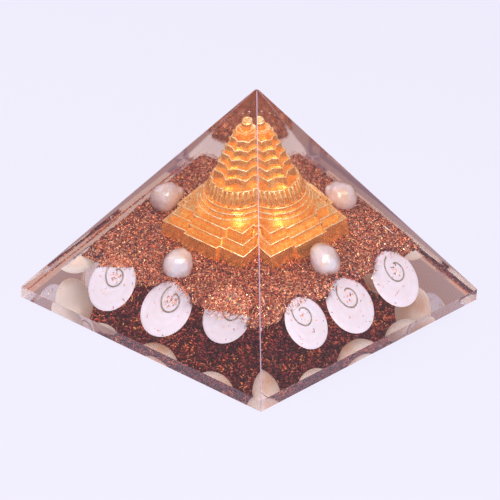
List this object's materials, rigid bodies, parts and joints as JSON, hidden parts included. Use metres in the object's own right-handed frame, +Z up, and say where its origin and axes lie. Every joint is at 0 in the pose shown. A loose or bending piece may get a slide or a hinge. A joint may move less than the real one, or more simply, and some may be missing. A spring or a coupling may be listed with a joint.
{
  "type": "orgone pyramid",
  "caption": "Four-sided clear resin pyramid with a stepped gilt yantra, pearls, domed shell discs and a bed of copper shavings cast inside.",
  "frame": {"origin": "middle of the base, on the plane the pyramid stands on", "axes": "+Z up to the apex; the four sides face -Y (front), +X (right), +Y (back) and -X (left)"},
  "size_m": [0.07, 0.07, 0.0484],
  "materials": {
    "clear_resin": "clear cast resin, polished, faintly warm",
    "copper_chips": "loose copper shavings, bright and broken",
    "gilt_metal": "gilded cast metal, orange gold with pale worn lips",
    "pearl_nacre": "glossy cream nacre",
    "white_shell": "white shell, satin, brown tinted on the domed side"
  },
  "bodies": {
    "root": {"resin_body": "clear_resin", "copper_shavings": "copper_chips", "meru_yantra": "gilt_metal", "pearl_front": "pearl_nacre", "pearl_right": "pearl_nacre", "pearl_back": "pearl_nacre", "pearl_left": "pearl_nacre", "disc_front_1": "white_shell", "disc_front_2": "white_shell", "disc_front_3": "white_shell", "disc_right_1": "white_shell", "disc_right_2": "white_shell", "disc_right_3": "white_shell", "disc_back_1": "white_shell", "disc_back_2": "white_shell", "disc_back_3": "white_shell", "disc_left_1": "white_shell", "disc_left_2": "white_shell", "disc_left_3": "white_shell"}
  },
  "joints": []
}
